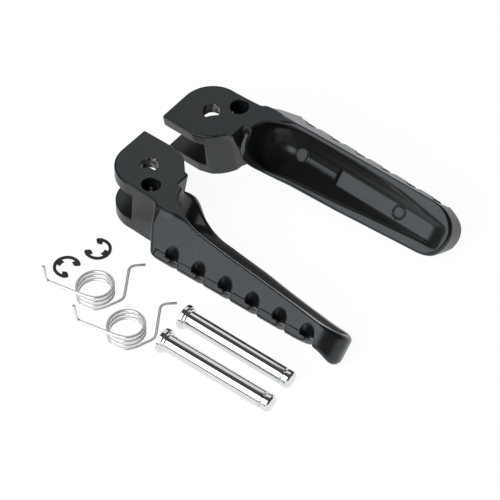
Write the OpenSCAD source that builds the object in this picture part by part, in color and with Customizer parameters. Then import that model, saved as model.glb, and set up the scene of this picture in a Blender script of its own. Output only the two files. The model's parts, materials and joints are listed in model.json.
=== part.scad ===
// Pair of folding motorcycle foot pegs with their pivot pins, torsion springs and retaining clips,
// laid out loose on a flat surface as a fitting kit.
// Row frame: +X from the pegs' pivot ends to their tips, +Y across the pair, +Z up, Z = 0 is the surface.
// Each peg is drawn in its own frame (pivot axis on Z, tread side on +Y) and then placed.

/* [Clevis] */
// Height of the clevis across both ears
clevis_h = 26; // [24:0.5:30]
// Thickness of one ear
ear_t = 6; // [5:0.5:7]
// Outer radius of the ears about the pivot
ear_r = 15.6; // [14:0.1:17]
// Diameter of the pivot bore
bore_d = 8.2; // [8.1:0.1:8.6]
// Diameter of the hole in the upper ear
spring_hole_d = 8.4; // [6:0.1:9]
// Diameter of the round pocket for the spring's coil
pocket_d = 18; // [17.8:0.1:21]

/* [Peg body] */
// Distance from the pivot axis to the tip
reach = 123.8; // [120:0.2:130]
// Width of the body across the opening
body_w = 26.8; // [25:0.2:29]
// Depth of the tread face below the pivot's reference plane
tread_depth = 14; // [13:0.2:15.4]
// Height of the raised pads above the tread face
pad_h = 1.3; // [0.6:0.1:2]
// Thickness of the body's side walls
wall = 3.2; // [2.6:0.1:4]
// Depth of the end lip below the pads
lip_h = 3.2; // [2:0.1:5]

/* [Tread] */
// Number of cross grooves
grooves = 6; // [4:1:6]
// Distance between two grooves
groove_pitch = 14.35; // [12:0.05:14.4]
// Width of a groove
groove_w = 6.8; // [5:0.1:8]
// Distance from the pivot axis to the first groove
groove_start = 34.9; // [33:0.1:38]

/* [Pivot pin] */
// Diameter of the shank
pin_d = 8; // [7.9:0.05:8]
// Overall length
pin_len = 57; // [54:0.5:62]
// Diameter of the head
pin_head_d = 11.5; // [10:0.1:13]
// Diameter of the clip groove
pin_groove_d = 6; // [5.5:0.1:6.5]

/* [Torsion spring] */
// Wire diameter
wire_d = 1.5; // [1.2:0.1:1.8]
// Outer diameter of the coil
coil_od = 17.4; // [16:0.1:18]
// Rise of one turn
coil_pitch = 2.62; // [2:0.02:3]

/* [Retaining clip] */
// Outer diameter
clip_od = 12.4; // [11.5:0.1:13]
// Thickness
clip_t = 0.7; // [0.6:0.05:0.9]

/* [Layout] */
// Tilt of each peg about its own length, tread side up
peg_roll = 3.8; // [0:0.1:5]
// Turn of the right peg towards the left one
right_yaw = -3.7; // [-4:0.1:0]
// Distance along X between the two pivots
right_dx = 2.1; // [0:0.1:4]
// Distance across between the two pivots
right_dy = 46.3; // [45:0.1:60]

/* [Hidden] */
$fn = 64;

// the peg's body is turned about the length so that its opening looks up and away from the tread
body_turn = 45;
slot_h = clevis_h - 2 * ear_t;          // gap between the ears
slot_end = [7.4, 3];                    // where the gap's flat end starts and stops
stop_back = 15.2;                       // square stop corner, behind the pivot
stop_side = 16;                         // the same, beside the pivot
tilt_edge = 15;                         // line that a tilted peg turns about
ear_hole_depth = 14;
front_z = 12;                           // the ears' squared front starts here
body_drop = 1.88;                       // the body's flat underside below the ears
ear_front = 17.4;                       // flat front end of the ears
spring_hole_at = [8.5, 9.6];            // centre of the upper ear's hole

// section of the body: b runs across the opening, a runs out of it
b_low = 4.2;
b_high = b_low + body_w;
b_mid = (b_low + b_high) / 2;
ledge_a = -11.2;                        // small ledge under the pads' edges
ledge_b = b_high - 0.9;
tread_b = [10.8, 29.9];                 // tread face between its two edges
floor_a = -7.6;                         // cavity floor
floor_b = [12.2, 22.8];
plateau_a = -6.2;                       // raised flat on the cavity floor
plateau_w = 8.2;
plateau_u = [60.5, 112];
notch_a = -6.2;                         // deepest point of a groove on the flank
low_notch = [b_low + 5.4, -11.4];       // the same on the lower flank
pad_gap = 4.8;                          // space between two pads
cut_l = 40;                             // length of a groove's cutter
tip_r = 12.6;                           // round end in plan
tip_u = reach - tip_r;
root_r = 13.2;                          // round end of the body beside the clevis
root_u = 30.4;
root_start = 17.2;                      // where the body leaves the clevis
pad_a = -tread_depth - pad_h;
lip_a = pad_a - lip_h;

// height of the rim along the peg
rim = [[root_start, 14.5], [20, 14], [22.5, 13], [25, 11.2], [27.5, 9], [30, 7.2], [34, 5.4], [40, 4], [50, 2.4],
       [60, 1.2], [80, -1.2], [100, -3.5], [112, -4.9], [reach, -5.6]];
// the tread side of the same outline, from the tip's lip back to the clevis
under = [[reach, -11], [reach - 0.6, -14.5], [reach - 2.4, lip_a + 0.6], [reach - 5, lip_a],
         [reach - 9, lip_a + 0.9], [111.6, pad_a], [27.5, pad_a], [24.8, -11.6], [21.2, -6.1],
         [19, 0], [root_start, 8]];

layout_centre = [55.8, -0.2];           // middle of the whole kit, moved to the origin
coil_r = (coil_od - wire_d) / 2;
coil_bottom = wire_d / 2;
turns = 3 + 55 / 360;                   // between the two legs' tangent points
pin_tilt = atan((pin_head_d - pin_d) / 2 / pin_len);

// moves the kit's middle to the origin
module laid_out(at = [0, 0], z = 0, turn = 0) {
    translate([at[0] - layout_centre[0], at[1] - layout_centre[1], z]) rotate([0, 0, turn]) children();
}

// ---- peg ----

// x along the peg, y across the opening, z out of the opening
module in_body() {
    rotate([body_turn, 0, 0]) children();
}

// outline in x and a, as a slab over the whole width
module side_slab(points, b0, b1) {
    in_body() translate([0, b1, 0]) rotate([90, 0, 0]) linear_extrude(b1 - b0) polygon(points);
}

// section in b and a, as a bar along x
module section_bar(points, u0, u1) {
    in_body() translate([u0, 0, 0]) rotate([90, 0, 90]) linear_extrude(u1 - u0) polygon(points);
}

// plan in x and b with two round ends, or a square half at the start
module plan_slab(u0, r0, u1, r1, b, half, a0, a1, square_start = 0) {
    in_body() translate([0, 0, a0]) linear_extrude(a1 - a0) union() {
        translate([u0, b]) circle(r0);
        translate([u1, b]) circle(r1);
        translate([u0, b - half]) square([u1 - u0, 2 * half]);
        if (square_start > 0) translate([square_start, b]) square([u0 - square_start, half]);
    }
}

module body_outer() {
    intersection() {
        side_slab(concat(rim, under), b_low - 1, b_high + 1);
        section_bar([[b_low, 22], [b_high, 22], [b_high, ledge_a], [ledge_b, ledge_a],
                     [tread_b[1], lip_a - 1], [tread_b[0] + 2.6, lip_a - 1], [tread_b[0], -13.5],
                     [b_low, -0.5]], 0, reach + 1);
        plan_slab(root_u, root_r, tip_u, tip_r, b_mid, body_w / 2, -25, 22, root_start);
        translate([-20, -60, -body_drop]) cube([reach + 40, 120, clevis_h + body_drop]);
    }
}

module cavity() {
    low = b_low + wall;
    high = b_high - wall + 0.6;
    difference() {
        intersection() {
            section_bar([[low, 24], [high, 24], [high, 2], [high - 0.6, -2.5], [floor_b[1], floor_a],
                         [floor_b[0], floor_a], [low + 0.8, -1]], 0, reach);
            plan_slab(root_u + 1.6, (high - low) / 2, tip_u - 0.6, (high - low) / 2, (low + high) / 2,
                      (high - low) / 2, floor_a, 24);
        }
        in_body() translate([plateau_u[0], b_mid - plateau_w / 2, floor_a - 1])
            cube([plateau_u[1] - plateau_u[0], plateau_w, plateau_a - floor_a + 1]);
    }
}

// a round-bottomed groove that runs down from a flank to the tread
module edge_groove(u, b, a, tilt) {
    in_body() translate([u, b, a]) rotate([tilt, 0, 0]) groove_cutter();
}

module groove_cutter() {
    translate([0, groove_w / 2, -cut_l / 2]) cylinder(h = cut_l, r = groove_w / 2);
    translate([-groove_w / 2, groove_w / 2, -cut_l / 2]) cube([groove_w, 2 * groove_w, cut_l]);
}

module tread_grooves() {
    for (i = [0 : grooves - 1]) {
        u = groove_start + i * groove_pitch;
        edge_groove(u, b_high, notch_a, -45);
        in_body() translate([u, low_notch[0], low_notch[1]]) rotate([45, 0, 0]) mirror([0, 1, 0])
            groove_cutter();
        in_body() translate([u - pad_gap / 2, 0, lip_a]) cube([pad_gap, cut_l, lip_h + pad_h]);
    }
}

module ear_block() {
    linear_extrude(clevis_h) union() {
        circle(ear_r);
        polygon([[-stop_back, -stop_side], [2, 0.2 - stop_side], [0, 0], [-ear_r + 0.1, 2], [-stop_back, 0]]);
        polygon([[0, 0], [15.3, -1.5], [ear_front, 1.6], [21.4, 3], [24, 14], [17, ear_r], [0, ear_r]]);
    }
    translate([0, 0, front_z]) linear_extrude(clevis_h - front_z)
        polygon([[0, 0], [12.9, -8.7], [15, -6.6], [ear_front, -6], [ear_front, 2]]);
}

module clevis_cuts() {
    translate([0, 0, ear_t]) linear_extrude(slot_h) union() {
        circle(d = pocket_d);
        polygon([[-30, -16.5], [slot_end[0], -16.5], [slot_end[1], 16.5], [-30, 16.5]]);
    }
    translate([0, 0, -1]) cylinder(h = clevis_h + 2, d = bore_d);
    translate([spring_hole_at[0], spring_hole_at[1], clevis_h - ear_hole_depth])
        cylinder(h = ear_hole_depth + 1, d = spring_hole_d);
}

module peg() {
    difference() {
        union() {
            ear_block();
            difference() {
                body_outer();
                tread_grooves();
            }
        }
        cavity();
        clevis_cuts();
    }
}

// tilt about a line under the stop corner, so that the corner stays near the surface
module tilted() {
    translate([0, -tilt_edge, 0]) rotate([peg_roll, 0, 0]) translate([0, tilt_edge, 0]) children();
}

module left_peg() {
    color([0.16, 0.18, 0.19]) laid_out() mirror([0, 1, 0]) tilted() peg();
}

module right_peg() {
    color([0.16, 0.18, 0.19]) laid_out([right_dx, right_dy], 0, right_yaw) tilted() peg();
}

// ---- pivot pin, lying with its head on the surface ----

module pin_solid() {
    r = pin_d / 2;
    rh = pin_head_d / 2;
    rg = pin_groove_d / 2;
    cap = 3.2;
    groove = 0.9;
    rotate([0, 90, 0]) rotate_extrude()
        polygon([[0, 0], [rh - 0.4, 0], [rh, 0.4], [rh, 1.9], [rh - 0.5, 2.3], [r + 0.9, 2.3],
                 [r + 0.9, 3.1], [r, 3.3], [r, pin_len - cap - groove], [rg, pin_len - cap - groove],
                 [rg, pin_len - cap], [r, pin_len - cap], [r, pin_len - 0.7], [r - 0.7, pin_len],
                 [0, pin_len]]);
}

module pin(at, turn) {
    color([0.83, 0.84, 0.86]) laid_out(at, pin_head_d / 2 + 0.06, turn) rotate([0, pin_tilt, 0])
        pin_solid();
}

module left_pin() {
    pin([54.8, -59.9], 0.8);
}

module right_pin() {
    pin([54.2, -44.3], 0.2);
}

// ---- torsion spring, swept along its own centre line ----

leg_lift = 9.2;
top_z = coil_bottom + turns * coil_pitch;
start_angle = -22;                       // where the lower leg leaves the coil
coil_steps = 60;                         // rings along the coil

function coil_point(t) = let (w = start_angle - 360 * turns * t)
    [coil_r * cos(w), coil_r * sin(w), coil_bottom + turns * coil_pitch * t];
lower_leg = [[6.6, 26.7, coil_bottom], [3.1, 23.6, coil_bottom], [2.1, 22.2, coil_bottom],
             [2.2, 20.4, coil_bottom], [10, 7.6, coil_bottom], [10.6, 5.9, coil_bottom],
             [10.4, 4.2, coil_bottom]];
upper_leg = [[-16.1, -11, top_z], [-17.3, -11.2, top_z + 0.5], [-17.9, -11.3, top_z + 1.6],
             [-18.7, -11.4, top_z + leg_lift]];
spring_line = concat(lower_leg, [for (k = [0 : coil_steps]) coil_point(k / coil_steps)], upper_leg);

function unit(v) = v / norm(v);
function direction(p, i) = unit(p[min(i + 1, len(p) - 1)] - p[max(i - 1, 0)]);
function side(d) = unit(cross(d, abs(d[2]) > 0.8 ? [1, 0, 0] : [0, 0, 1]));
sides = 8;

// tube through the points of a line, one ring of sides at each
module tube(p, r) {
    n = len(p);
    rings = [for (i = [0 : n - 1]) let (d = direction(p, i), s = side(d), t = cross(s, d))
        for (j = [0 : sides - 1]) p[i] + r * (cos(360 * j / sides) * s + sin(360 * j / sides) * t)];
    walls = [for (i = [0 : n - 2]) for (j = [0 : sides - 1])
        let (k = (j + 1) % sides) [i * sides + j, i * sides + k, (i + 1) * sides + k, (i + 1) * sides + j]];
    ends = [[for (j = [sides - 1 : -1 : 0]) j], [for (j = [0 : sides - 1]) (n - 1) * sides + j]];
    polyhedron(rings, concat(walls, ends), convexity = 8);
}

module spring(at) {
    color([0.86, 0.87, 0.88]) laid_out(at) tube(spring_line, wire_d / 2);
}

module left_spring() {
    spring([38.4, -64]);
}

module right_spring() {
    spring([13.9, -54.9]);
}

// ---- retaining clip with three inner lugs, mouth towards -X ----

module clip_solid() {
    ring = 1.45;
    lug_in = pin_groove_d / 2;
    linear_extrude(clip_t) difference() {
        union() {
            difference() {
                circle(clip_od / 2);
                circle(clip_od / 2 - ring);
            }
            for (w = [0, 122, -122]) intersection() {
                circle(clip_od / 2);
                rotate(w) translate([lug_in, -1.7]) square([4, 3.4]);
            }
        }
        polygon([[0, 0], [-12, 11.4], [-12, -11.4]]);
        circle(lug_in);
    }
}

module clip(at, turn) {
    color([0.2, 0.21, 0.22]) laid_out(at, 0, turn) clip_solid();
}

module left_clip() {
    clip([-7, -49.4], 180);
}

module right_clip() {
    clip([-2.6, -33.2], 0);
}

left_peg();
right_peg();
left_pin();
right_pin();
left_spring();
right_spring();
left_clip();
right_clip();
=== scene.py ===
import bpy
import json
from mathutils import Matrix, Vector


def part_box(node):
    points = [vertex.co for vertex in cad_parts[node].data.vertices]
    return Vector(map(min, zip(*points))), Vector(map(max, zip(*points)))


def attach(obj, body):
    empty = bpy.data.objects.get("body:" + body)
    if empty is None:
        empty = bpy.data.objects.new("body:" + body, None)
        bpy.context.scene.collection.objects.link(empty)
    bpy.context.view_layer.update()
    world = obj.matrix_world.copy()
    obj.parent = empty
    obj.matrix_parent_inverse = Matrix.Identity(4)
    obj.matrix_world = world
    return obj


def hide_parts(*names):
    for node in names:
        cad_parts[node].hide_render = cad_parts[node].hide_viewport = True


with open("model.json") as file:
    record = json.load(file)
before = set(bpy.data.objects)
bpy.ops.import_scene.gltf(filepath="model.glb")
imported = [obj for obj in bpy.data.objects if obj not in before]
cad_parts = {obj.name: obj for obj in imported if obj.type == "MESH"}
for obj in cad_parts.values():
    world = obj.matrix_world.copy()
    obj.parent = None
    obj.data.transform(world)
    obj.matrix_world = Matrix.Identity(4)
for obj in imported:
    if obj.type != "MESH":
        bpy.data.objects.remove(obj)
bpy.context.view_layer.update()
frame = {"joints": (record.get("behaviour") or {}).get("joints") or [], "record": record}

import json
import math

import bpy
import numpy as np
from mathutils import Matrix, Vector

# Kit of two folding foot pegs with pins, springs and clips. Shapes are worked out in millimetres in a piece's
# own frame, then placed from the frame's mounts, joints and boxes. A peg's own frame: u along the peg,
# v towards the tread side, w along the pivot. Its body is turned 45 degrees about u: b runs across the
# opening, a out of it.

MM = 0.001
HALF = math.sqrt(0.5)
record = frame["record"]
mounts = {m["name"]: m for m in record["mounts"]}
joints = {j["name"]: j for j in frame["joints"]}

# ---------------------------------------------------------------- profiles


def curve(points, step=0.25):
    """Smooth function of x through the points, read from a fine table."""
    x, y = np.array(points, float).T
    slope = np.gradient(y, x)
    table_x = np.arange(x[0], x[-1] + step, step)
    k = np.clip(np.searchsorted(x, table_x, side="right") - 1, 0, len(x) - 2)
    width = x[k + 1] - x[k]
    t = np.clip((table_x - x[k]) / width, 0, 1)
    table_y = (
        (2 * t**3 - 3 * t**2 + 1) * y[k]
        + (t**3 - 2 * t**2 + t) * width * slope[k]
        + (3 * t**2 - 2 * t**3) * y[k + 1]
        + (t**3 - t**2) * width * slope[k + 1]
    )
    return lambda at: np.interp(at, table_x, table_y)


def smooth_loop(points, steps=8):
    """Closed outline that passes through the points without corners."""
    p = np.array(points, float)
    before, after, beyond = np.roll(p, 1, 0), np.roll(p, -1, 0), np.roll(p, -2, 0)
    rows = []
    for k in range(steps):
        t = k / steps
        rows.append(
            0.5
            * (
                2 * p
                + (after - before) * t
                + (2 * before - 5 * p + 4 * after - beyond) * t**2
                + (3 * p - before - 3 * after + beyond) * t**3
            )
        )
    return np.stack(rows, 1).reshape(-1, 2)


def rounded(corners, steps=5):
    """Outline whose corners (x, y, radius) are rounded off."""
    out = []
    n = len(corners)
    for i in range(n):
        x, y, r = corners[i]
        here = np.array([x, y])
        to_last = np.array(corners[i - 1][:2]) - here
        to_next = np.array(corners[(i + 1) % n][:2]) - here
        e0, e1 = to_last / np.linalg.norm(to_last), to_next / np.linalg.norm(to_next)
        half = 0.5 * math.acos(max(-1.0, min(1.0, float(e0 @ e1))))
        if r <= 0 or half > 1.5:
            out.append(here)
            continue
        cut = min(r / math.tan(half), 0.45 * np.linalg.norm(to_last), 0.45 * np.linalg.norm(to_next))
        for k in range(steps + 1):
            t = k / steps
            start, end = here + e0 * cut, here + e1 * cut
            out.append((1 - t) ** 2 * start + 2 * t * (1 - t) * here + t**2 * end)
    return np.array(out)


def outline(points, step=0.2, pad=5.0):
    """Signed distance to a closed outline, read from a fine table."""
    p = np.asarray(points, float)
    low = p.min(0) - pad
    count = np.ceil((p.max(0) + pad - low) / step).astype(int) + 1
    columns, rows = [low[d] + step * np.arange(count[d]) for d in (0, 1)]
    x, y = np.meshgrid(columns, rows, indexing="ij")
    nearest = np.full(x.shape, 1e9)
    inside = np.zeros(x.shape, bool)
    for (x0, y0), (x1, y1) in zip(p, np.roll(p, -1, 0)):
        ex, ey = x1 - x0, y1 - y0
        t = np.clip(((x - x0) * ex + (y - y0) * ey) / (ex * ex + ey * ey + 1e-12), 0, 1)
        nearest = np.minimum(nearest, (x - x0 - t * ex) ** 2 + (y - y0 - t * ey) ** 2)
        if y0 != y1:
            inside ^= ((y0 > y) != (y1 > y)) & (x < x0 + (y - y0) * ex / ey)
    table = np.where(inside, -1, 1) * np.sqrt(nearest)

    def distance(px, py):
        fx, fy = (px - low[0]) / step, (py - low[1]) / step
        cx, cy = np.clip(fx, 0, count[0] - 1.001), np.clip(fy, 0, count[1] - 1.001)
        i, j = cx.astype(int), cy.astype(int)
        tx, ty = cx - i, cy - j
        near = table[i, j] * (1 - tx) + table[i + 1, j] * tx
        far = table[i, j + 1] * (1 - tx) + table[i + 1, j + 1] * tx
        return near * (1 - ty) + far * ty + step * np.hypot(fx - cx, fy - cy)

    return distance


# ---------------------------------------------------------------- joining solids with fillets


def trim(p, q, r):
    """What is inside both, with the edge rounded by r."""
    return np.minimum(np.maximum(p, q), -r) + np.hypot(np.maximum(p + r, 0), np.maximum(q + r, 0))


def join(p, q, r):
    """What is inside either, with the corner filled by r."""
    return np.maximum(np.minimum(p, q), r) - np.hypot(np.maximum(r - p, 0), np.maximum(r - q, 0))


def carve(p, q, r):
    return trim(p, -q, r)


def ramp(x, start, length):
    """0 before start, 1 after start + length."""
    return np.clip((x - start) / length, 0, 1)


def slope_line(x, y, x0, y0, x1, y1):
    """Distance to the right of the line from (x0, y0) to (x1, y1)."""
    ex, ey = x1 - x0, y1 - y0
    return ((x - x0) * ey - (y - y0) * ex) / math.hypot(ex, ey)


# ---------------------------------------------------------------- the peg

CLEVIS_H, EAR_T, EAR_R = 26.0, 6.0, 15.6
BORE_R, EAR_HOLE_R, EAR_HOLE, EAR_HOLE_DEPTH, EAR_HOLE_CONE = 4.1, 4.2, (8.5, 9.6), 14.0, 0.6
EAR_DRAFT_U, EAR_DRAFT_V, FRONT_DRAFT = 0.07, 0.045, 0.25
SLOT_U, SLOT_SLOPE, POCKET_R = 5.2, 0.14, 8.4
B_HIGH, LEDGE_B, LEDGE_A, FLANK_W = 31.0, 30.15, -11.2, -1.88
TREAD_A, CROWN, CROWN_B, CROWN_HALF = -16.15, 1.3, 20.4, 9.6
GROOVES, GROOVE_START, GROOVE_PITCH, GROOVE_R = 6, 34.9, 14.35, 3.3
GAP_SHIFT, GAP_HALF, GAP_DEPTH = 2.6, 2.0, 3.2
UPPER_SCOOP_A, UPPER_SCOOP_FOOT, UPPER_SCOOP_LEAN = -6.2, -12.2, 0.12
LOWER_SCOOP_B, LOWER_SCOOP_A = 9.6, -11.4
FLAT_A, DISC_A, DISC_U, DISC_B, DISC_R = -6.2, -6.8, 38.2, 17.2, 3.0
RING_U, RING_B, RING_R, RING_THICK = 94.0, 17.9, 2.9, 0.35

ear_outline = outline(
    rounded(
        [(-EAR_R, -16.2, 0.9), (2, -15.8, 5), (7.6, -14.0, 4), (10.4, -11.8, 4), (13.0, -8.8, 3)]
        + [(15.2, -5, 0), (EAR_R, -1.5, 3), (17.4, 1.7, 0.5), (21.6, 3.0, 1), (25, 9, 1), (25, 17.3, 0.5)]
        + [(12, 16.2, 9), (3, 15.65, 6)]
        + [(EAR_R * math.cos(t), EAR_R * math.sin(t), 0) for t in np.linspace(1.62, 3.1, 26)]
        + [(-EAR_R, -4, 2)]
    )
)
front_outline = outline(
    rounded([(0, 0, 0), (13.0, -8.8, 0), (15.0, -6.7, 0.8), (17.4, -6.0, 0.7), (17.5, 2.2, 0)])
)
tip_line = smooth_loop(
    [(80, 31), (98, 30.95), (108, 30.8), (113.0, 29.9), (117.1, 27.6), (119.9, 24.4), (121.4, 20.6)]
    + [(121.3, 16.6), (120.1, 12.5), (117.6, 8.8), (113.8, 6.0), (108.6, 4.7), (98, 4.4), (85, 4.1)]
)[8:-16]
body_outline = outline(
    [(17.2, 30.6), (17.5, 31), (60, 31)]
    + tip_line.tolist()
    + [(90, 4.1), (80, 4.1), (67, 3.9), (51, 3.75), (40, 3.5), (34, 3.5), (31, 3.6), (28.0, 3.7)]
    + [(25.7, 4.1), (23.5, 4.9), (21.7, 6.2), (20.3, 8.1), (19.4, 10.4), (18.8, 13.2), (18.5, 17)]
    + [(18.2, 20), (17.6, 24)]
)
hollow_outline = outline(
    smooth_loop(
        [(21.0, 17.6), (21.4, 13.8), (22.9, 10.2), (25.8, 7.6), (30.5, 6.0), (37, 5.4), (48, 5.4)]
        + [(67, 5.8), (84, 6.4), (100, 7.2), (110, 8.0), (116, 9.6), (120.6, 13.6), (122.8, 18.6)]
        + [(122.0, 23.6), (118.8, 27.3), (112, 29.0), (100, 29.2), (80, 29.2), (60, 29.1)]
        + [(44, 28.7), (34, 28.2), (27, 26.9), (23.0, 24.6), (21.3, 21.4)]
    )
)
trough = curve(
    [(2, 9), (5, 5.0), (7.2, 2.2), (9.6, -1.4), (12.2, -4.9), (14.6, -7.0), (17.3, -7.7), (19.8, -7.0)]
    + [(22.4, -5.4), (25.4, -3.4), (27.8, -1.0), (29.2, 2.0), (30.2, 6.0), (33, 14)]
)
rim_low = curve(
    [(15, 15.9), (20, 15.3), (22.5, 14.3), (25, 12.3), (27.5, 9.9), (30, 7.9), (34, 5.8), (40, 3.8)]
    + [(50, 2.5), (60, 1.4), (70, 0.3), (80, -1.2), (90, -2.5), (100, -3.6), (110, -4.5), (118, -4.7)]
    + [(126, -4.7)]
)
rim_high = curve(
    [(15, 15.2), (20, 14.3), (22.5, 13.2), (25, 11.5), (27.5, 9.7), (30, 8.2), (34, 6.2), (40, 4.2)]
    + [(50, 2.6), (60, 1.4), (70, 0.35), (80, -0.7), (90, -1.8), (100, -3.0), (110, -4.4), (118, -4.7)]
    + [(126, -4.7)]
)
lip = curve(
    [(0, 0), (98, 0), (101, 0), (104, -0.1), (108.6, -0.7), (111, -0.5), (113, -0.2), (115, 0.3)]
    + [(116.6, 0.9), (118, 1.6), (119.6, 2.15), (121.2, 2.0), (125, 0.6)]
)
root_edge = curve(
    [(-20, 29), (-16.5, 27.2), (-14.5, 25.4), (-11.6, 23.6), (-8.9, 22.2), (-6.1, 20.7), (-2.1, 18.9)]
    + [(1, 17.7), (4, 16.7), (7, 15.6), (10, 14.6), (30, 11)]
)


def tread_height(u, b):
    """Height of the pads' tops, with a slight crown across and the lip at the tip."""
    return TREAD_A + CROWN * ((b - CROWN_B) / CROWN_HALF) ** 2 - lip(u)


def groove_offset(u):
    """Distance along the peg from the nearest groove's middle."""
    k = np.clip(np.round((u - GROOVE_START) / GROOVE_PITCH), 0, GROOVES - 1)
    return u - GROOVE_START - k * GROOVE_PITCH


def scoop(along, out, r):
    """Round-bottomed channel: out is the distance outwards from its bottom line."""
    return np.hypot(along, np.minimum(out - r, 0)) - r


def body_shape(u, b, a, w):
    """Signed distance to the body without its hollow."""
    rim = rim_low(u) + (rim_high(u) - rim_low(u)) * ramp(b, 4, 27)
    steep = (rim_low(u + 0.5) - rim_low(u - 0.5)) ** 2
    tip = ramp(u, 110, 8)
    tread = tread_height(u, b)
    ledge = join(trim(b - B_HIGH, LEDGE_A - a, 0.4), b - LEDGE_B, 0.5)
    taper = ramp(-u, -21, 6) * ramp(a, -5, 6) * ramp(b, 24, 4)
    side = body_outline(u, b + taper)
    sides = np.where((u > 27) & (u < 111), np.maximum(side, ledge), side)
    sides = trim(sides, slope_line(b, a, 3.6, -1.0, 10.8, -13.5), 2.5)
    shape = trim(sides, tread - a, 1.2 + 1.2 * tip)
    shape = trim(shape, root_edge(a) - u, 2.2)
    across = groove_offset(u)
    gap = trim(np.abs(across - GAP_SHIFT) - GAP_HALF, a - tread - GAP_DEPTH, 0.6)
    shape = carve(shape, gap, 0.6)
    lean = across - UPPER_SCOOP_LEAN * (UPPER_SCOOP_A - a)
    upper = scoop(lean, (b - B_HIGH) * HALF - (a - UPPER_SCOOP_A) * HALF, GROOVE_R)
    lower = scoop(across, (LOWER_SCOOP_B - b) * HALF - (a - LOWER_SCOOP_A) * HALF, GROOVE_R)
    shape = carve(shape, trim(upper, UPPER_SCOOP_FOOT - a, 0.4), 0.5)
    shape = carve(shape, lower, 0.7)
    rim_round = 0.6 + 1.6 * tip + 1.4 * (1 - tip) * ramp(-b, -14, 4) * ramp(u, 32, 12)
    return trim(trim(shape, (a - rim) / np.sqrt(1 + steep), rim_round), FLANK_W - w, 0.5)


def hollow_shape(u, b, a):
    """The open hollow: a round trough with a bowl at its root, a raised flat and a short ramp at the tip."""
    walls = hollow_outline(u, b) + 0.07 * np.clip(rim_low(u) - a, 0, 20)
    slope = trough(b + 0.3) - trough(b - 0.3)
    space = (trough(b) - a) / np.sqrt(1 + (slope / 0.6) ** 2)
    space = trim(space, slope_line(u, a, 111.5, -6.4, 120.6, -4.3), 0.8)
    space = trim(space, slope_line(u, a, 21.4, 6.0, 28.0, -7.8), 6.0)
    space = trim(space, walls, 1.5)
    flat = trim(a - FLAT_A, slope_line(u, a, 60.2, FLAT_A, 58.2, -7.9), 0.3)
    disc = trim(np.hypot(u - DISC_U, b - DISC_B) - DISC_R, a - DISC_A, 0.25)
    ring = np.hypot(np.hypot(u - RING_U, b - RING_B) - RING_R, a - FLAT_A) - RING_THICK
    return np.minimum(carve(carve(space, flat, 0.3), disc, 0.25), ring)


def peg_shape(u, b, a):
    """Signed distance to the whole casting."""
    v, w = (b - a) * HALF, (b + a) * HALF
    front = front_outline(u, v - FRONT_DRAFT * (CLEVIS_H - w))
    ear = ear_outline(u - EAR_DRAFT_U * (CLEVIS_H - w), v - EAR_DRAFT_V * (CLEVIS_H - w))
    ear = trim(join(ear, front, 0.4), -w, 0.8)
    solid = join(ear, body_shape(u, b, a, w), 1.6 + 1.4 * ramp(v, 5, 5))
    solid = trim(solid, w - CLEVIS_H, 0.8)
    solid = carve(solid, hollow_shape(u, b, a), 0.9 - 0.6 * ramp(u, 112, 6))
    opening = np.minimum(u - SLOT_U + SLOT_SLOPE * v, np.hypot(u, v) - POCKET_R)
    slot = np.maximum(opening, np.abs(w - CLEVIS_H / 2) - (CLEVIS_H / 2 - EAR_T))
    solid = carve(solid, slot, 0.5)
    solid = carve(solid, np.hypot(u, v) - BORE_R, 0.25)
    inwards = EAR_HOLE_R - np.hypot(u - EAR_HOLE[0], v - EAR_HOLE[1])
    ear_hole = np.maximum(-inwards, CLEVIS_H - EAR_HOLE_DEPTH - EAR_HOLE_CONE * inwards - w)
    return carve(solid, ear_hole, 0.25)


# ---------------------------------------------------------------- meshing a shape


def sample(shape, low, cell, count, block=6):
    """Values on the grid's points, worked out only near the surface."""
    coarse = [np.arange(-(-n // block)) for n in count]
    ci, cj, ck = np.meshgrid(*coarse, indexing="ij")
    middle = [low[d] + cell * (block * g + (block - 1) / 2) for d, g in enumerate((ci, cj, ck))]
    value = shape(*[m.ravel() for m in middle]).reshape(ci.shape)
    near = np.abs(value) < cell * block * 1.25
    grid = np.repeat(np.repeat(np.repeat(value, block, 0), block, 1), block, 2)
    blocks = np.argwhere(near)
    offset = np.stack(np.meshgrid(*[np.arange(block)] * 3, indexing="ij"), -1).reshape(-1, 3)
    index = (blocks[:, None, :] * block + offset[None]).reshape(-1, 3)
    fine = shape(*[low[d] + cell * index[:, d] for d in range(3)])
    grid[index[:, 0], index[:, 1], index[:, 2]] = fine
    return grid[: count[0], : count[1], : count[2]]


def gradient(shape, p, eps):
    """Slope of a shape at the points."""
    steps = eps * np.eye(3)
    return np.stack([shape(*(p + step).T) - shape(*(p - step).T) for step in steps], 1) / (2 * eps)


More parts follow.
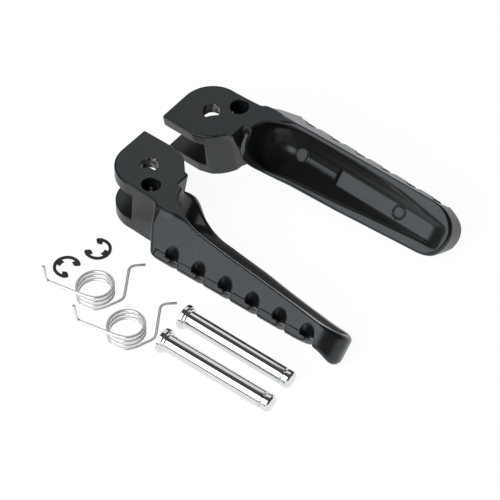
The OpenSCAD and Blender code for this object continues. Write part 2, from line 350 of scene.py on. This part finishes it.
def surface(shape, low, high, cell, rounds=2):
    """Vertices, normals and quads of a shape's surface (surface nets, then moved onto the shape)."""
    low, high = np.array(low, float), np.array(high, float)
    count = np.ceil((high - low) / cell).astype(int) + 2
    value = sample(shape, low, cell, count)
    inside = value < 0
    n = count - 1
    cut_sum = np.zeros(tuple(n) + (3,))
    cut_count = np.zeros(tuple(n))
    for axis in range(3):
        one = [slice(None)] * 3
        two = [slice(None)] * 3
        one[axis], two[axis] = slice(0, -1), slice(1, None)
        v0, v1 = value[tuple(one)], value[tuple(two)]
        crossing = inside[tuple(one)] != inside[tuple(two)]
        t = np.where(crossing, v0 / np.where(crossing, v0 - v1, 1), 0)
        others = [d for d in range(3) if d != axis]
        for i in (0, 1):
            for j in (0, 1):
                pick = [slice(None)] * 3
                pick[others[0]] = slice(i, i + n[others[0]])
                pick[others[1]] = slice(j, j + n[others[1]])
                c = crossing[tuple(pick)]
                cut_count += c
                cut_sum[..., axis] += t[tuple(pick)] * c
                cut_sum[..., others[0]] += i * c
                cut_sum[..., others[1]] += j * c
    used = cut_count > 0
    cells = np.argwhere(used)
    number = np.full(tuple(n), -1)
    number[used] = np.arange(len(cells))
    points = low + cell * (cells + cut_sum[used] / cut_count[used][:, None])
    quads = []
    for axis in range(3):
        x, y = [d for d in range(3) if d != axis]
        one = [slice(1, n[d]) for d in range(3)]
        two = [slice(1, n[d]) for d in range(3)]
        one[axis], two[axis] = slice(0, n[axis]), slice(1, n[axis] + 1)
        a0, a1 = inside[tuple(one)], inside[tuple(two)]
        at = np.argwhere(a0 != a1)
        flip = a0[tuple(at.T)] ^ (axis == 1)
        base = at + np.array([0 if d == axis else 1 for d in range(3)])

        def cell_number(dx, dy):
            c = base.copy()
            c[:, x] -= dx
            c[:, y] -= dy
            return number[tuple(c.T)]

        q = np.stack([cell_number(1, 1), cell_number(0, 1), cell_number(0, 0), cell_number(1, 0)], 1)
        quads.append(np.where(flip[:, None], q, q[:, ::-1]))
    quads = np.concatenate(quads)
    for _ in range(rounds):
        g = gradient(shape, points, cell * 0.2)
        d = shape(*points.T)
        step = d[:, None] * g / np.maximum((g * g).sum(1, keepdims=True), 0.2)
        limit = np.maximum(np.linalg.norm(step, axis=1, keepdims=True) / (0.5 * cell), 1)
        points = points - step / limit
    normals = gradient(shape, points, cell * 0.35)
    normals /= np.maximum(np.linalg.norm(normals, axis=1, keepdims=True), 1e-6)
    return points, normals, quads


def make_mesh(name, points, faces, normals, material):
    mesh = bpy.data.meshes.new(name)
    mesh.from_pydata(points.tolist(), [], [list(f) for f in faces])
    mesh.shade_smooth()
    if normals is not None:
        mesh.normals_split_custom_set_from_vertices(normals.tolist())
    obj = bpy.data.objects.new(name, mesh)
    bpy.context.scene.collection.objects.link(obj)
    mesh.materials.append(material)
    return obj


# ---------------------------------------------------------------- materials


class Nodes:
    """Short way to build a node material."""

    def __init__(self, name):
        self.material = bpy.data.materials.new(name)
        self.material.use_nodes = True
        self.tree = self.material.node_tree
        self.shader = self.tree.nodes["Principled BSDF"]
        self.place = self.add("ShaderNodeTexCoord").outputs["Object"]

    def add(self, kind, links=None, **values):
        node = self.tree.nodes.new(kind)
        for key, value in values.items():
            if hasattr(node, key):
                setattr(node, key, value)
            else:
                node.inputs[key.replace("_", " ")].default_value = value
        for socket, source in (links or {}).items():
            self.tree.links.new(source, node.inputs[socket])
        return node

    def noise(self, scale, detail=2.0):
        node = self.add("ShaderNodeTexNoise", {"Vector": self.place}, Scale=scale, Detail=detail)
        return node.outputs["Fac"]

    def span(self, source, low, high, to_low, to_high):
        node = self.add("ShaderNodeMapRange", {"Value": source})
        for key, value in (("From Min", low), ("From Max", high), ("To Min", to_low), ("To Max", to_high)):
            node.inputs[key].default_value = value
        return node.outputs["Result"]

    def mix(self, factor, one, two):
        node = self.add("ShaderNodeMix", data_type="RGBA")
        self.tree.links.new(factor, node.inputs[0])
        node.inputs[6].default_value = (*one, 1)
        node.inputs[7].default_value = (*two, 1)
        return node.outputs[2]

    def bump(self, height, strength, distance):
        node = self.add("ShaderNodeBump", {"Height": height})
        node.inputs["Strength"].default_value = strength
        node.inputs["Distance"].default_value = distance
        self.tree.links.new(node.outputs["Normal"], self.shader.inputs["Normal"])

    def set(self, **values):
        for key, value in values.items():
            socket = self.shader.inputs[key.replace("_", " ")]
            if hasattr(value, "node"):
                self.tree.links.new(value, socket)
            else:
                socket.default_value = value
        return self


def black_coat():
    n = Nodes("satin black coat")
    fine = n.noise(900.0, 3.0)
    broad = n.noise(45.0, 2.0)
    colour = n.mix(broad, (0.0075, 0.0085, 0.0095), (0.0105, 0.0118, 0.013))
    n.set(Base_Color=colour, Roughness=n.span(broad, 0.3, 0.7, 0.26, 0.31), Metallic=0.0, IOR=1.54)
    n.set(Specular_Tint=(0.86, 0.95, 1.0, 1))
    n.bump(fine, 0.12, 0.00012)
    return n.material


def plated(name, colour, rough, scale, metallic=1.0):
    n = Nodes(name)
    grain = n.noise(scale, 2.0)
    n.set(
        Base_Color=n.mix(grain, colour, tuple(0.96 * c for c in colour)),
        Roughness=n.span(grain, 0.3, 0.7, rough * 0.8, rough * 1.2),
        Metallic=metallic,
    )
    return n.material


def clip_black():
    n = Nodes("black phosphate")
    grain = n.noise(1500.0, 2.0)
    n.set(Base_Color=n.mix(grain, (0.018, 0.021, 0.022), (0.03, 0.033, 0.034)), Roughness=0.38, Metallic=0.25)
    n.bump(grain, 0.1, 0.00005)
    return n.material


def pale_floor():
    n = Nodes("pale floor")
    tone = n.span(n.noise(3.0, 1.0), 0.3, 0.7, 0.0, 1.0)
    n.set(Base_Color=n.mix(tone, (0.16, 0.16, 0.16), (0.17, 0.17, 0.17)), Roughness=0.9)
    n.set(Specular_IOR_Level=0.0)
    n.set(Emission_Color=(1, 1, 1, 1), Emission_Strength=0.93)
    return n.material


def bare_bore():
    n = Nodes("machined bore")
    patches = n.span(n.noise(420.0, 3.0), 0.42, 0.58, 0.0, 1.0)
    n.set(
        Base_Color=n.mix(patches, (0.03, 0.032, 0.034), (0.42, 0.43, 0.44)),
        Roughness=n.span(n.noise(700.0, 2.0), 0.3, 0.7, 0.3, 0.55),
        Metallic=n.span(patches, 0.0, 1.0, 0.3, 0.9),
    )
    return n.material


COAT = black_coat()
BORE = bare_bore()
CHROME = plated("chrome", (0.74, 0.75, 0.76), 0.06, 300.0)
WIRE = plated("bright zinc", (0.88, 0.885, 0.89), 0.18, 1200.0, 0.6)
CLIP = clip_black()

# ---------------------------------------------------------------- pegs


def unit(v):
    return np.array(v, float) / np.linalg.norm(v)


def peg_place(side, mirrored):
    """Origin and axes of a peg's own frame, from its pivot and ear hole."""
    pivot, hole = mounts[side + "_pivot_bore"], mounts[side + "_ear_hole"]
    w = unit(pivot["axis"])
    origin = np.array(pivot["pos_m"]) - w * CLEVIS_H / 2 * MM
    arm = np.array(hole["pos_m"]) - origin
    arm = unit(arm - w * (arm @ w))
    across = np.cross(w, arm) * (-1 if mirrored else 1)
    turn = math.atan2(EAR_HOLE[1], EAR_HOLE[0])
    u = math.cos(turn) * arm - math.sin(turn) * across
    v = math.sin(turn) * arm + math.cos(turn) * across
    return origin, u, v, w


PEG_LOW, PEG_HIGH, PEG_CELL = (-17, -12.5, -22), (125.5, 32.5, 30), 0.52


def build_pegs():
    points, normals, quads = surface(peg_shape, PEG_LOW, PEG_HIGH, PEG_CELL)
    middle = points[quads].mean(1)
    in_bore = np.hypot(middle[:, 0], (middle[:, 1] - middle[:, 2]) * HALF) < BORE_R + 0.15
    for side, mirrored in (("left", True), ("right", False)):
        origin, u, v, w = peg_place(side, mirrored)
        axes = np.stack([u, (v + w) * HALF, (w - v) * HALF])
        faces = quads[:, ::-1] if mirrored else quads
        obj = make_mesh(side + "_peg_casting", origin + points @ axes * MM, faces, normals @ axes, COAT)
        obj.data.materials.append(BORE)
        obj.data.polygons.foreach_set("material_index", in_bore.astype(np.int32))
        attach(obj, side + "_peg")
        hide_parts(side + "_peg")


build_pegs()

# ---------------------------------------------------------------- pins


def tube_faces(rings, sides, flip):
    """Quads between neighbouring rings of points, and a cap at each end."""
    faces = []
    for i in range(rings - 1):
        here, beyond = i * sides, (i + 1) * sides
        for j in range(sides):
            k = (j + 1) % sides
            quad = (here + j, here + k, beyond + k, beyond + j)
            faces.append((quad[0], quad[3], quad[2], quad[1]) if flip else quad)
    first, last = tuple(range(sides)), tuple(range((rings - 1) * sides, rings * sides))
    return faces + ([first, last[::-1]] if flip else [first[::-1], last])


def lathe(name, profile, origin, axis, sides, material):
    """Turns a profile of (along, radius) about an axis."""
    axis = unit(axis)
    one = unit(np.cross(axis, (0, 0, 1)))
    two = np.cross(axis, one)
    angle = np.arange(sides) * 2 * math.pi / sides
    ring = np.cos(angle)[:, None] * one + np.sin(angle)[:, None] * two
    points = np.concatenate([origin + MM * (axis * x + ring * r) for x, r in profile])
    return make_mesh(name, points, tube_faces(len(profile), sides, True), None, material)


def softened(line, cut, share, steps):
    """Rounds the corners of an open line, using at most a share of each stretch."""
    p = [np.array(q, float) for q in line]
    out = [p[0]]
    for a, b, c in zip(p, p[1:], p[2:]):
        length = min(cut, share * np.linalg.norm(b - a), share * np.linalg.norm(c - b))
        start, end = b + unit(a - b) * length, b + unit(c - b) * length
        for k in range(steps + 1):
            t = k / steps
            out.append((1 - t) ** 2 * start + 2 * t * (1 - t) * b + t**2 * end)
    return out + [p[-1]]


PIN_LEN, PIN_R, HEAD_R, SHANK_AT, GROOVE_AT, CAP_AT, PIN_SIDES = 57.0, 4.0, 5.75, 3.3, 52.9, 53.8, 96
PIN_PROFILE = [
    (0.0, 0.05), (0.0, 5.2), (0.35, HEAD_R), (1.9, HEAD_R), (2.25, 5.3), (2.3, 4.9), (3.1, 4.9),
    (SHANK_AT, PIN_R), (GROOVE_AT, PIN_R), (GROOVE_AT, 3.0), (CAP_AT, 3.0), (CAP_AT, PIN_R),
    (56.2, PIN_R), (PIN_LEN, 3.2), (PIN_LEN, 0.05),
]


def build_pin(side):
    shank = mounts[side + "_pin_shank"]
    axis = unit(shank["axis"])
    origin = np.array(shank["pos_m"]) - axis * (SHANK_AT + GROOVE_AT) / 2 * MM
    profile = softened(PIN_PROFILE, 0.12, 0.4, 3)
    pin = lathe(side + "_pivot_pin", profile, origin, axis, PIN_SIDES, CHROME)
    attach(pin, side + "_pin")
    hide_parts(side + "_pin")


for side in ("left", "right"):
    build_pin(side)

# ---------------------------------------------------------------- springs

WIRE_R, WIRE_SIDES, CAP_SCALE, CAP_LEN = 0.75, 20, 0.82, 0.14
COIL_R, COIL_PITCH, TURNS, COIL_START = 7.95, 2.62, 3 + 55 / 360, math.radians(-22)
COIL_TOP = WIRE_R + TURNS * COIL_PITCH
LOWER_LEG = [(6.6, 26.7), (3.1, 23.6), (2.1, 22.2), (2.2, 20.4), (10.0, 7.6), (10.6, 5.9), (10.4, 4.2)]
UPPER_LEG = [(-16.1, -11.0, 0.0), (-17.3, -11.2, 0.5), (-17.9, -11.3, 1.6), (-18.7, -11.4, 9.2)]


def eased(points):
    """Rounds the bends of a wire's centre line."""
    return softened(points, 1.6, 0.45, 6)


def spring_line():
    """Centre line of the wire about the coil's middle, from the lower leg's end to the upper leg's end."""
    turn = np.linspace(0, 2 * math.pi * TURNS, 320)
    coil = np.stack(
        [
            COIL_R * np.cos(COIL_START - turn),
            COIL_R * np.sin(COIL_START - turn),
            WIRE_R + COIL_PITCH * turn / (2 * math.pi),
        ],
        1,
    )
    low = [(x, y, WIRE_R) for x, y in LOWER_LEG]
    high = [(x, y, COIL_TOP + z) for x, y, z in UPPER_LEG]
    start = eased(low + [coil[0], coil[6]])[:-1]
    end = eased([coil[-7], coil[-1]] + high)[1:]
    return np.array(start + list(coil[7:-7]) + end)


def sweep(name, line, r, sides, material):
    """Round wire along a line, with a frame carried along so that it doesn't twist."""
    keep = np.concatenate([[True], np.linalg.norm(np.diff(line, axis=0), axis=1) > 1e-3])
    line = line[keep]
    along = np.gradient(line, axis=0)
    along /= np.linalg.norm(along, axis=1, keepdims=True)
    side = unit(np.cross(along[0], (0, 0, 1)))
    rings, scale = [], [CAP_SCALE] + [1.0] * (len(line) - 2) + [CAP_SCALE]
    angle = np.arange(sides) * 2 * math.pi / sides
    for p, d, s in zip(line, along, scale):
        side = unit(side - d * (side @ d))
        up = np.cross(d, side)
        rings.append(p + r * s * (np.cos(angle)[:, None] * side + np.sin(angle)[:, None] * up))
    points = np.concatenate(rings)
    return make_mesh(name, points * MM, tube_faces(len(line), sides, False), None, material)


def with_ends(line):
    """Adds a point just inside each end, so that the wire's cut ends get a small bevel."""
    inner_first = line[0] + unit(line[1] - line[0]) * CAP_LEN
    inner_last = line[-1] + unit(line[-2] - line[-1]) * CAP_LEN
    return np.array([line[0], inner_first] + list(line[1:-1]) + [inner_last, line[-1]])


def build_spring(side):
    centre = np.array(joints[side + "_spring_turn"]["pos_m"]) / MM
    centre[2] = 0
    line = with_ends(spring_line()) + centre
    spring = sweep(side + "_torsion_spring", line, WIRE_R, WIRE_SIDES, WIRE)
    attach(spring, side + "_spring")
    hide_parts(side + "_spring")


for side in ("left", "right"):
    build_spring(side)

# ---------------------------------------------------------------- clips

CLIP_R, CLIP_T, CLIP_BAND, CLIP_CELL = 6.2, 0.7, 1.45, 0.13
LUG_IN, LUG_MIDDLE, LUG_REACH, MOUTH_X, MOUTH_Y = 3.0, 4.4, 1.6, 12, 11.4
LUGS = ((0, 1.5), (128, 2.0), (-128, 2.0))  # angle in degrees, half width


def clip_shape(x, y, z):
    """Open ring with three inner lugs; the mouth faces -x."""
    r = np.hypot(x, y)
    plate = np.abs(r - CLIP_R + CLIP_BAND / 2) - CLIP_BAND / 2
    for degrees, half in LUGS:
        c, s = math.cos(math.radians(degrees)), math.sin(math.radians(degrees))
        reach, off = c * x + s * y, c * y - s * x
        lug = np.maximum(np.maximum(np.abs(off) - half, np.abs(reach - LUG_MIDDLE) - LUG_REACH), LUG_IN - r)
        plate = join(plate, lug, 0.35)
    side_one = slope_line(x, y, 0, 0, -MOUTH_X, MOUTH_Y)
    side_two = slope_line(x, y, -MOUTH_X, -MOUTH_Y, 0, 0)
    mouth = trim(side_one, side_two, 0.01)
    plate = carve(plate, mouth, 1.1)
    return trim(plate, np.abs(z - CLIP_T / 2) - CLIP_T / 2, 0.16)


def build_clips():
    points, normals, quads = surface(clip_shape, (-6.6, -6.6, -0.3), (6.6, 6.6, 1.0), CLIP_CELL)
    for side, turn in (("left", -1), ("right", 1)):
        low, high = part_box(side + "_clip")
        round_side = low.x if turn < 0 else high.x
        cx = round_side - turn * CLIP_R * MM
        cy = (low.y + high.y) / 2
        spin = np.array([turn, turn, 1])
        placed = np.array([cx, cy, low.z]) + points * spin * MM
        obj = make_mesh(side + "_retaining_clip", placed, quads, normals * spin, CLIP)
        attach(obj, side + "_clip")
        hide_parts(side + "_clip")


build_clips()

# ---------------------------------------------------------------- stage, light and camera

AIM = Vector((-4.03, 6.92, 0.0)) * MM
AZIMUTH, ELEVATION, DISTANCE, LENS = math.radians(36.56), math.radians(49.06), 0.974, 158.1
FLOOR_HALF, FLOOR_Z, SKY = 3.0, -0.0002, 0.08


def direction(azimuth, elevation):
    flat = math.cos(elevation)
    return Vector((math.sin(azimuth) * flat, -math.cos(azimuth) * flat, math.sin(elevation)))


def build_floor():
    turns = ((-1, -1), (1, -1), (1, 1), (-1, 1))
    corners = np.array([(x * FLOOR_HALF, y * FLOOR_HALF, FLOOR_Z) for x, y in turns])
    floor = make_mesh("floor", corners, [(0, 1, 2, 3)], None, pale_floor())


def softbox(name, low, high, width, radiance, shift=0.0):
    """Panel that a pin reflects between two angles, counted from the front horizon over the top."""
    across = -0.39
    flat = math.sqrt(1 - across * across)
    middle = math.radians((low + high) / 2)
    towards = Vector((across, -flat * math.cos(middle), flat * math.sin(middle)))
    side = (Vector((1, 0, 0)) - towards * towards.x).normalized()
    height = 2 * math.tan(math.radians((high - low) / 2))
    data = bpy.data.lights.new(name, "AREA")
    data.shape, data.size, data.size_y = "RECTANGLE", width, height
    data.energy = radiance * math.pi * width * height
    light = bpy.data.objects.new(name, data)
    light.location = AIM + towards + side * shift
    light.rotation_euler = Matrix((side, towards.cross(side), towards)).transposed().to_euler()
    bpy.context.scene.collection.objects.link(light)


def build_lights():
    world = bpy.data.worlds.new("studio")
    bpy.context.scene.world = world
    world.use_nodes = True
    background = world.node_tree.nodes["Background"]
    background.inputs["Color"].default_value = (0.9, 0.95, 1.0, 1)
    background.inputs["Strength"].default_value = SKY
    softbox("front low", 10, 40, 0.3, 1.3, -0.12)
    softbox("front middle", 12, 68, 0.30, 1.7, 0.0)
    softbox("front right", 12, 68, 0.8, 2.6, 0.55)
    softbox("back", 112, 172, 0.6, 0.8)


def build_camera():
    data = bpy.data.cameras.new("camera")
    data.lens, data.sensor_width = LENS, 36.0
    camera = bpy.data.objects.new("camera", data)
    towards = direction(AZIMUTH, ELEVATION)
    camera.location = AIM + towards * DISTANCE
    camera.rotation_euler = (-towards).to_track_quat("-Z", "Y").to_euler()
    bpy.context.scene.collection.objects.link(camera)
    bpy.context.scene.camera = camera


build_floor()
build_lights()
build_camera()
bpy.context.scene.view_settings.view_transform = "Standard"
